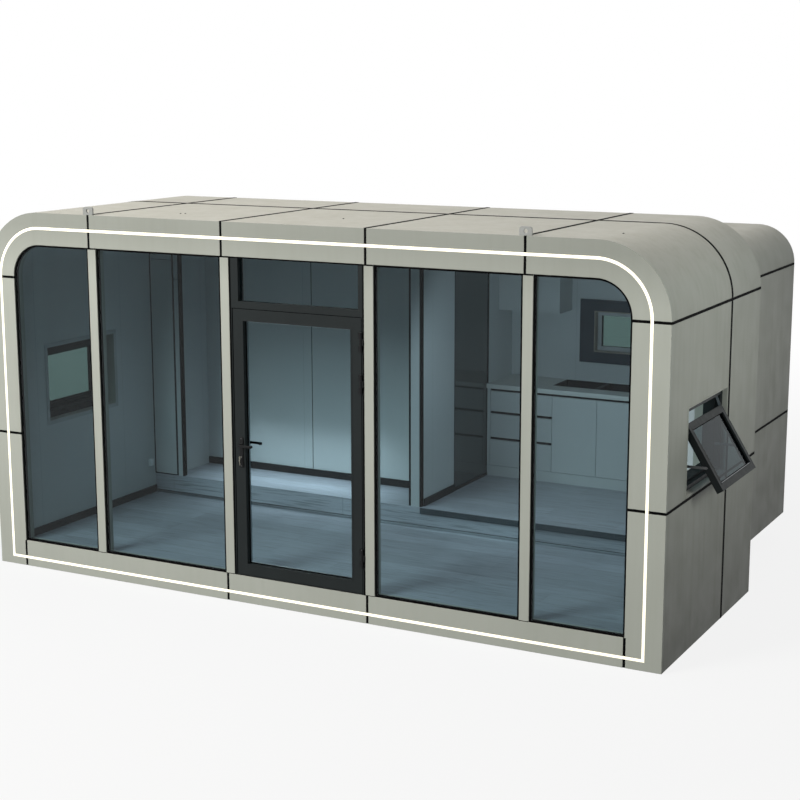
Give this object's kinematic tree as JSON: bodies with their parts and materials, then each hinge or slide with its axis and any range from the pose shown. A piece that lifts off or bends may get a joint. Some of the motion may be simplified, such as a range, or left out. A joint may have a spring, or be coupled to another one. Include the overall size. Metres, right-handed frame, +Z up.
{
  "type": "capsule house",
  "caption": "Prefabricated capsule house with a rounded glazed front, hinged glass door, awning windows and a smaller raised rear section that slides out of its back",
  "frame": {"origin": "middle of the flat underside of the front section, at ground level", "axes": "+X runs to the right along the glazed front seen from outside, +Y runs from the glazed front to the back, +Z is up"},
  "size_m": [6.0722, 3.897, 3.013],
  "materials": {
    "base_steel": "semi-matte grey paint on a steel frame, pale boards on top",
    "wall_core": "insulated core, dark membrane",
    "cladding": "coated aluminium panel, warm light grey, satin",
    "band": "coated aluminium, warm light grey, satin",
    "light": "warm white diffuser, lit",
    "seal": "black rubber",
    "clear_glass": "tinted sealed glass",
    "dark_frame": "charcoal powder coat",
    "black_metal": "black satin",
    "steel": "brushed",
    "lug_paint": "grey paint",
    "lining": "smooth pale grey panel",
    "trim": "dark grey trim",
    "floor": "pale grey wood grain boards",
    "dark_glass": "dark glass",
    "cabinet": "smooth pale grey",
    "carcass": "dark grey board",
    "counter": "white stone",
    "sink_black": "black composite"
  },
  "bodies": {
    "house": {"front_base": "floor", "left_wall": "wall_core", "right_wall": "wall_core", "front_roof": "wall_core", "portal_frame": "band", "back_frame": "cladding", "front_roof_panels": "cladding", "front_side_panels": "cladding", "front_band": "band", "light_strip": "light", "seals": "seal", "mullions": "band", "front_glass": "clear_glass", "door_frame": "dark_frame", "frame_hinges": "black_metal", "window_surrounds": "band", "window_frames": "dark_frame", "window_sashes": "dark_frame", "window_glass": "clear_glass", "window_stays": "steel", "lifting_lugs": "lug_paint", "rear_floor": "floor", "rear_side_walls": "wall_core", "rear_back_wall": "lining", "rear_roof": "wall_core", "rear_roof_panels": "cladding", "rear_side_panels": "cladding", "rear_back_panels": "cladding", "rear_window_frame": "dark_frame", "rear_feet": "base_steel", "linings": "lining", "return_panels": "lining", "skirting": "trim", "partition_wall": "lining", "inner_glass_panel": "dark_glass", "closet_wall": "lining", "kitchen_carcass": "carcass", "kitchen_cupboards": "cabinet", "kitchen_counter": "counter", "sink": "sink_black"},
    "door": {"door_leaf": "dark_frame", "door_glass": "clear_glass", "leaf_hinges": "black_metal", "lock_plates": "black_metal"},
    "lever": {"door_lever": "black_metal"}
  },
  "joints": [
    {"name": "door_swing", "type": "hinge", "parent": "house", "child": "door", "pos_m": [0.5755, -1.052, 0.226], "axis": [0, 0, 1], "range_deg": [0, 100]},
    {"name": "lever_turn", "type": "hinge", "parent": "door", "child": "lever", "pos_m": [-0.476, -1.04, 1.255], "axis": [0, 1, 0], "range_deg": [0, 40], "stiffness_Nm_per_rad": 2, "springref_deg": -20.05}
  ]
}
